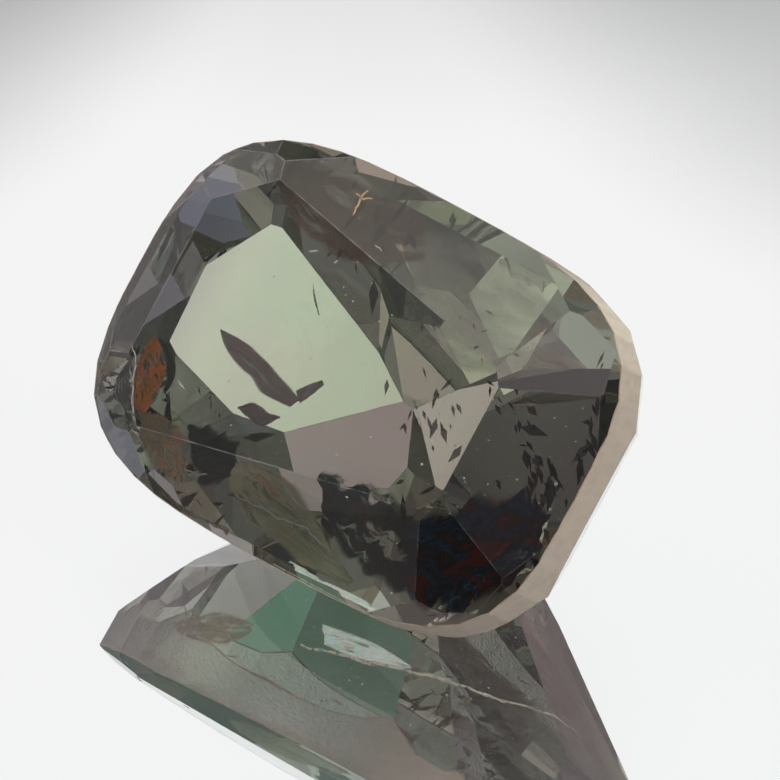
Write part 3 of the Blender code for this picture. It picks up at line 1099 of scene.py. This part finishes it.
# The dim even room, and the soft panels round it: heading from +Y towards +X, height, outer and
# inner half-angle in degrees, and colour. A negative colour keeps a part of the room dark.
AMBIENT = (0.125, 0.115, 0.120)
LIGHTS = (
    (0, 33.5, 12, 4.5, (0.85, 0.865, 0.85)),
    (340, 58, 24, 6, (-0.05, 0.03, -0.01)),
    (8, 50, 18, 5, (-0.05, 0.03, 0.0)),
    (354.5, 28, 5, 3, (-0.60, -0.60, -0.60)),
    (5, 28, 5.3, 3, (-0.45, -0.45, -0.44)),
    (38, 43, 22, 6, (0.60, 0.65, 0.49)),
    (0, 26.5, 5.6, 3.5, (-0.22, -0.22, -0.22)),
    (30, 64, 24, 6, (0.14, 0.18, 0.16)),
    (0, 4, 22, 5, (0.60, 0.60, 0.60)),
    (336, 4, 22, 5, (0.60, 0.60, 0.60)),
    (312, 4, 22, 5, (0.40, 0.28, 0.28)),
    (48, 4, 22, 5, (0.42, 0.36, 0.40)),
    (160, 13, 16, 5, (0.10, 0.09, 0.10)),
    (72, 4, 22, 5, (0.17, 0.13, 0.18)),
    (110, 5, 30, 8, (0.14, 0.12, 0.13)),
    (192, 4, 22, 5, (0.48, 0.39, 0.34)),
    (240, 4, 22, 5, (0.34, 0.30, 0.30)),
    (230, 24, 22, 8, (-0.09, -0.08, -0.085)),
    (288, 4, 22, 5, (0.38, 0.41, 0.38)),
    (278, 15, 11, 3, (-0.36, -0.36, -0.38)),
    (237, 37, 9, 3, (-0.13, -0.11, -0.11)),
    (130, 24, 22, 5, (0.06, 0.08, 0.18)),
    (260, 24, 22, 5, (0.10, 0.09, 0.09)),
    (254, 31, 11, 4, (0.36, 0.27, 0.31)),
    (242, 61, 15, 4, (0.54, 0.45, 0.46)),
    (233, 7, 12, 4, (0.22, 0.17, 0.15)),
    (22, 12, 14, 4, (0.29, 0.21, 0.21)),
    (268, 33, 13, 5, (-0.44, -0.38, -0.40)),
    (286, 24, 22, 5, (0.52, 0.48, 0.50)),
    (312, 24, 22, 5, (0.80, 0.76, 0.78)),
    (96, 45, 22, 5, (0.28, 0.24, 0.30)),
    (128, 45, 22, 5, (0.60, 0.55, 0.55)),
    (166, 45, 20, 5, (-0.10, -0.09, -0.09)),
    (256, 45, 22, 5, (0.42, 0.35, 0.36)),
    (288, 45, 22, 5, (0.54, 0.56, 0.46)),
    (50, 66, 22, 5, (0.13, 0.10, 0.12)),
    (100, 66, 22, 5, (0.23, 0.19, 0.21)),
    (300, 66, 22, 5, (0.45, 0.45, 0.44)),
)


def studio_light():
    """Soft light by direction: the room's even light and a lobe for each panel that falls off
    smoothly from its own heading."""
    world = bpy.data.worlds.new("studio")
    bpy.context.scene.world = world
    world.use_nodes = True
    shader = Shader(world.node_tree)
    ray = shader.add("ShaderNodeTexCoord").outputs["Generated"]
    red, green, blue = AMBIENT
    light = shader.add("ShaderNodeCombineXYZ", X=red, Y=green, Z=blue).outputs["Vector"]
    for heading, height, outer, inner, colour in LIGHTS:
        turn, rise = radians(heading), radians(height)
        direction = (sin(turn) * cos(rise), cos(turn) * cos(rise), sin(rise))
        lobe = shader.between(shader.along(ray, direction), cos(radians(outer)), cos(radians(inner)))
        scaled = shader.add("ShaderNodeVectorMath", operation="SCALE", Scale=lobe)
        shader.feed(scaled.inputs[0], colour)
        both = shader.add("ShaderNodeVectorMath", operation="ADD")
        shader.feed(both.inputs[0], light)
        shader.feed(both.inputs[1], scaled.outputs["Vector"])
        light = both.outputs["Vector"]
    shader.feed(world.node_tree.nodes["Background"].inputs["Color"], light)


LAMP_SPREAD = 30.0


def studio_lamps():
    """Broad soft lamps, one high behind the stone and a warm one to its right, that light matt
    surfaces and are seen in none."""
    chosen = settings("studio_settings")
    for name, strength, colour, turn in (
        ("window_lamp", chosen.lamp_strength, (1.0, 1.0, 1.0), (-48, 0, 0)),
        ("side_lamp", chosen.side_strength, (1.0, 0.90, 0.76), (0, 55, -20)),
    ):
        data = bpy.data.lights.new(name, "SUN")
        data.energy = strength
        data.color = colour
        data.angle = radians(LAMP_SPREAD)
        lamp = bpy.data.objects.new(name, data)
        lamp.rotation_euler = [radians(angle) for angle in turn]
        lamp.visible_glossy = False
        lamp.visible_transmission = False
        bpy.context.scene.collection.objects.link(lamp)


def studio_camera(stone):
    """A long lens at the photograph's angle, aimed beside the middle of the girdle."""
    chosen = settings("studio_settings")
    tilt = chosen.camera_tilt
    ahead = np.array([0.0, cos(tilt), -sin(tilt)])
    up = np.array([0.0, sin(tilt), cos(tilt)])
    aim = stone.origin + np.array([chosen.aim_right, 0.0, 0.0]) - up * chosen.aim_down
    data = bpy.data.cameras.new("camera")
    data.angle = 2.0 * atan(chosen.picture_side / 2 / chosen.camera_distance)
    data.clip_start = chosen.camera_distance / 20
    data.clip_end = 20.0
    camera = bpy.data.objects.new("camera", data)
    camera.location = Vector(aim - ahead * chosen.camera_distance)
    camera.rotation_euler = (radians(90.0) - tilt, 0.0, 0.0)
    bpy.context.scene.collection.objects.link(camera)
    bpy.context.scene.camera = camera


class ALEXANDRITE_OT_polish(bpy.types.Operator):
    """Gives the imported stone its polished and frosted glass"""

    bl_idname = "alexandrite.polish"
    bl_label = "Polish the stone"

    def execute(self, context):
        material = stone_material()
        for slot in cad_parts[STONE].material_slots:
            slot.material = material
        return {"FINISHED"}


class ALEXANDRITE_OT_girdle(bpy.types.Operator):
    """Adds the pale skin of the ground girdle"""

    bl_idname = "alexandrite.girdle"
    bl_label = "Frost the girdle"

    def execute(self, context):
        frosted_girdle(StoneFrame())
        return {"FINISHED"}


class ALEXANDRITE_OT_wear(bpy.types.Operator):
    """Adds the worn lines along the facet edges"""

    bl_idname = "alexandrite.wear"
    bl_label = "Wear the facet edges"

    def execute(self, context):
        wear(StoneFrame())
        return {"FINISHED"}


class ALEXANDRITE_OT_feathers(bpy.types.Operator):
    """Adds the stained films inside the stone and the chipped edge under it"""

    bl_idname = "alexandrite.feathers"
    bl_label = "Add feathers"

    def execute(self, context):
        stone = StoneFrame()
        for film in FILMS:
            sheets = joined([film_sheet(stone, sheet) for sheet in film.sheets])
            make_piece(film.piece, film_material(film), *sheets)
        edge_chips(stone)
        return {"FINISHED"}


class ALEXANDRITE_OT_cracks(bpy.types.Operator):
    """Adds the lines of the cracks that reach the crown"""

    bl_idname = "alexandrite.cracks"
    bl_label = "Add cracks"

    def execute(self, context):
        cracks(StoneFrame())
        return {"FINISHED"}


class ALEXANDRITE_OT_crystals(bpy.types.Operator):
    """Adds the bright flecks and the dark platelets"""

    bl_idname = "alexandrite.crystals"
    bl_label = "Add small crystals"

    def execute(self, context):
        stone = StoneFrame()
        flecks(stone)
        shards(stone)
        return {"FINISHED"}


class ALEXANDRITE_OT_studio(bpy.types.Operator):
    """Builds the floor, the light and the camera"""

    bl_idname = "alexandrite.studio"
    bl_label = "Build the studio"

    def execute(self, context):
        studio_floor()
        studio_light()
        studio_lamps()
        studio_camera(StoneFrame())
        scene = context.scene
        scene.view_settings.view_transform = "Standard"
        scene.cycles.denoising_input_passes = "RGB"
        scene.cycles.max_bounces = 24
        scene.cycles.transmission_bounces = 24
        scene.cycles.glossy_bounces = 16
        scene.cycles.transparent_max_bounces = 24
        return {"FINISHED"}


STEPS = (
    ALEXANDRITE_OT_polish,
    ALEXANDRITE_OT_girdle,
    ALEXANDRITE_OT_wear,
    ALEXANDRITE_OT_feathers,
    ALEXANDRITE_OT_cracks,
    ALEXANDRITE_OT_crystals,
    ALEXANDRITE_OT_studio,
)


class ALEXANDRITE_PT_steps(bpy.types.Panel):
    """Lists the steps and the settings in the sidebar"""

    bl_idname = "ALEXANDRITE_PT_steps"
    bl_label = "Alexandrite"
    bl_space_type = "VIEW_3D"
    bl_region_type = "UI"
    bl_category = "Alexandrite"

    def draw(self, context):
        for step in STEPS:
            self.layout.operator(step.bl_idname)
        for name in SETTINGS:
            box = self.layout.box()
            for key in settings(name).__annotations__:
                box.prop(settings(name), key)


SETTINGS = {
    "stone_settings": StoneSettings,
    "inclusion_settings": InclusionSettings,
    "studio_settings": StudioSettings,
}
CLASSES = (*SETTINGS.values(), *STEPS, ALEXANDRITE_PT_steps)


def register():
    """Registers the classes and hangs the settings on the scene."""
    for item in CLASSES:
        bpy.utils.register_class(item)
    for name, group in SETTINGS.items():
        setattr(bpy.types.Scene, name, bpy.props.PointerProperty(type=group))


def unregister():
    """Takes the settings and the classes away again."""
    for name in SETTINGS:
        delattr(bpy.types.Scene, name)
    for item in reversed(CLASSES):
        bpy.utils.unregister_class(item)


def main():
    register()
    for step in STEPS:
        area, action = step.bl_idname.split(".")
        getattr(getattr(bpy.ops, area), action)()


if __name__ == "__main__":
    main()
